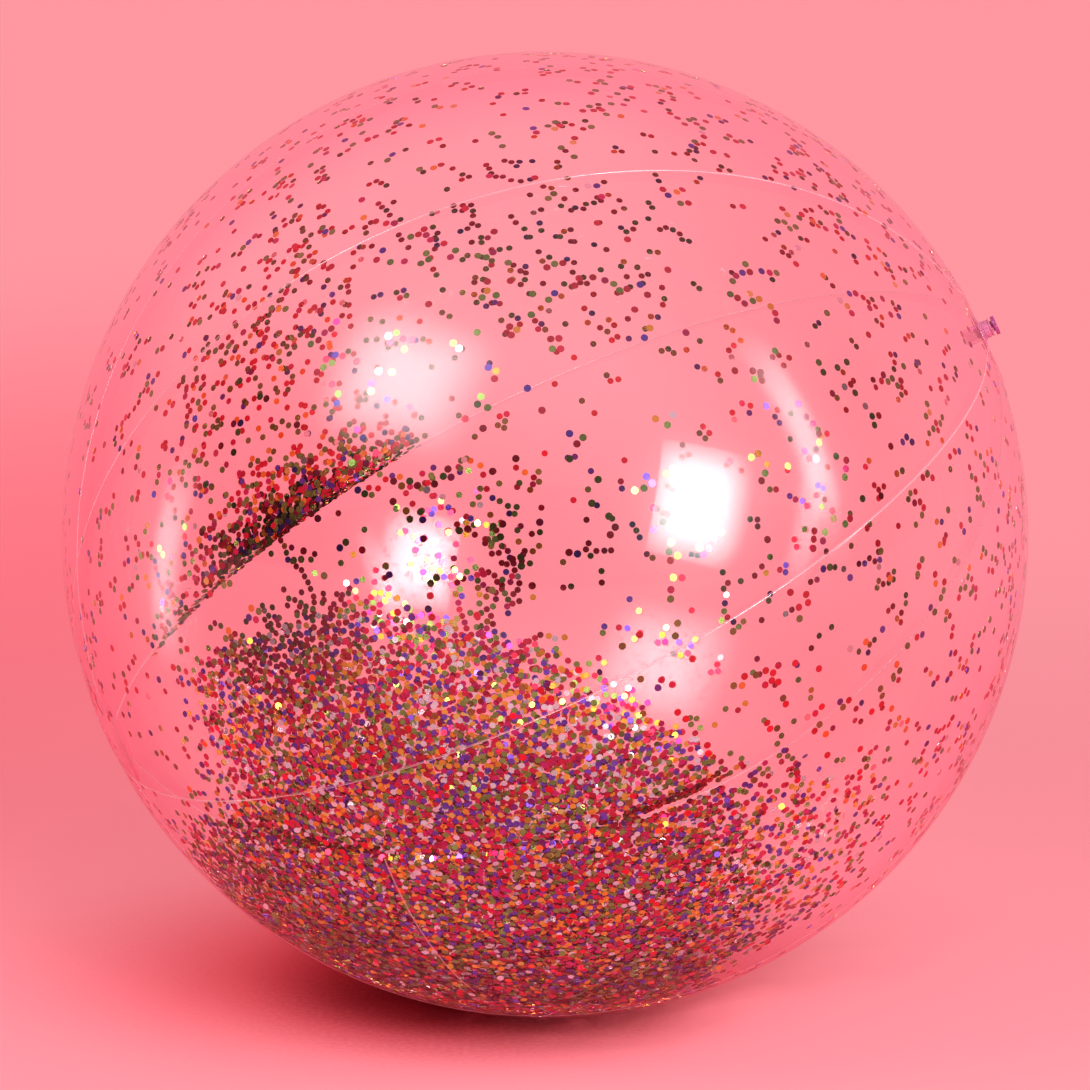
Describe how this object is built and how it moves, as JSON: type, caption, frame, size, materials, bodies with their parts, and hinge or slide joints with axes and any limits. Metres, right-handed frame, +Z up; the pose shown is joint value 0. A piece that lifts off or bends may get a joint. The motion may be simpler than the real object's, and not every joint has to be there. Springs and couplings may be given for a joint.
{
  "type": "inflatable beach ball",
  "caption": "Clear inflatable beach ball of welded film panels with round end discs, a push-in air valve with tethered stopper, and loose metallic confetti inside.",
  "frame": {"origin": "middle of the flat patch on which the inflated ball rests, at floor level under the ball's centre", "axes": "+Z up; the pole axis lies in the XZ plane and rises towards +X, the end with the valve; the pictured side faces -Y"},
  "size_m": [0.4, 0.3998, 0.3992],
  "materials": {
    "clear_film": "clear glossy film",
    "disc_film": "clear glossy film",
    "violet_vinyl": "soft translucent vinyl",
    "foil_red": "metallic foil",
    "foil_magenta": "metallic foil",
    "foil_orange": "metallic foil",
    "foil_gold": "metallic foil",
    "foil_green": "metallic foil",
    "foil_blue": "metallic foil",
    "foil_silver": "metallic foil"
  },
  "bodies": {
    "ball": {"bottom_panel": "clear_film", "lower_back_panel": "clear_film", "upper_back_panel": "clear_film", "top_panel": "clear_film", "upper_front_panel": "clear_film", "lower_front_panel": "clear_film", "end_disc": "disc_film", "valve_disc": "disc_film", "valve_flange": "violet_vinyl", "valve_skirt": "violet_vinyl", "confetti_red": "foil_red", "confetti_magenta": "foil_magenta", "confetti_orange": "foil_orange", "confetti_gold": "foil_gold", "confetti_green": "foil_green", "confetti_blue": "foil_blue", "confetti_silver": "foil_silver"},
    "valve": {"valve_stem": "violet_vinyl"},
    "stopper": {"valve_plug": "violet_vinyl", "valve_strap": "violet_vinyl"},
    "flap": {"check_flap": "violet_vinyl"}
  },
  "joints": [
    {"name": "valve_push", "type": "slide", "parent": "ball", "child": "valve", "axis": [-0.9033, 0, -0.4289], "range_m": [0, 0.0044], "deforming": ["valve_skirt"]},
    {"name": "plug_pull", "type": "slide", "parent": "valve", "child": "stopper", "axis": [0.9033, 0, 0.4289], "range_m": [0, 0.009], "deforming": ["valve_strap"]},
    {"name": "flap_open", "type": "hinge", "parent": "valve", "child": "flap", "pos_m": [0.17324, 0.0037, 0.28145], "axis": [0.4289, 0, -0.9033], "range_deg": [0, 45], "stiffness_Nm_per_rad": 0.00001, "springref_deg": -17.19}
  ]
}
